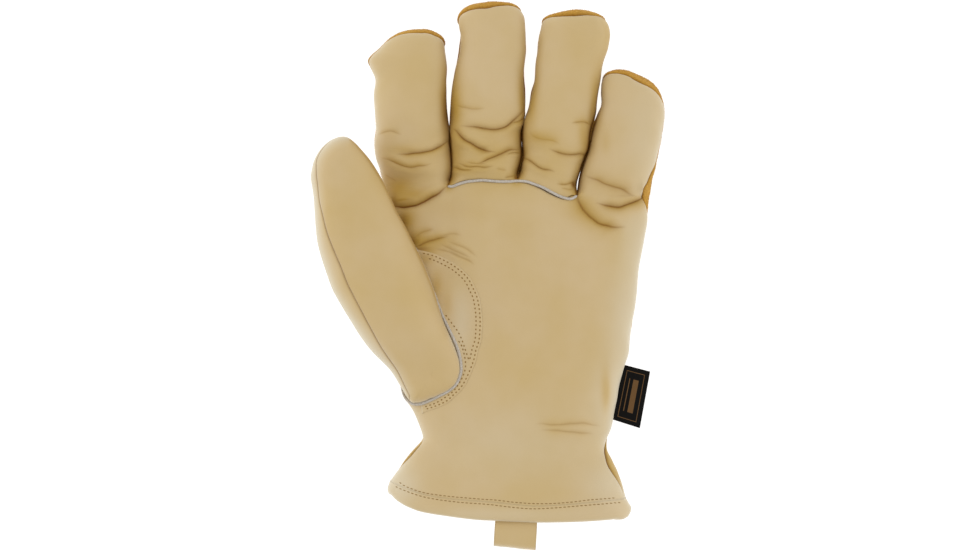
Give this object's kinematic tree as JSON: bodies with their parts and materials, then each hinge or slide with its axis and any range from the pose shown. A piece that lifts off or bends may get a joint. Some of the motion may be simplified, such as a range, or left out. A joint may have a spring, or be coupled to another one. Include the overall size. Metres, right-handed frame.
{
  "type": "insulated driver glove",
  "caption": "Padded leather work glove for the left hand, lying palm up: smooth leather palm and thumb, suede back wrapped over the fingertips, flared hemmed cuff with pull loop",
  "frame": {"origin": "Middle of the bounding box in X and Y, on the flattened back on which the glove lies", "axes": "+Y runs from the cuff to the fingertips, +Z out of the palm, and the thumb is on the -X side"},
  "size_m": [0.1762, 0.2734, 0.0503],
  "materials": {
    "smooth_leather": "light tan smooth top-grain leather, fine grain, semi-matt",
    "suede": "golden-brown rough suede, short nap, matt",
    "piping": "grey-white cut edge of leather piping, matt",
    "woven_label": "black woven tape with a thin tan border, matt"
  },
  "bodies": {
    "root": {"palm_panel": "smooth_leather", "middle_finger_front": "smooth_leather", "ring_finger_front": "smooth_leather", "thumb_front": "smooth_leather", "thumb_back": "smooth_leather", "thumb_gusset": "smooth_leather", "cuff_back": "smooth_leather", "cuff_hem": "smooth_leather", "pull_loop": "smooth_leather", "back_panel": "suede", "fourchette_index_middle": "suede", "fourchette_middle_ring": "suede", "fourchette_ring_little": "suede", "finger_piping": "piping", "thumb_piping": "piping", "side_label": "woven_label"}
  },
  "joints": []
}
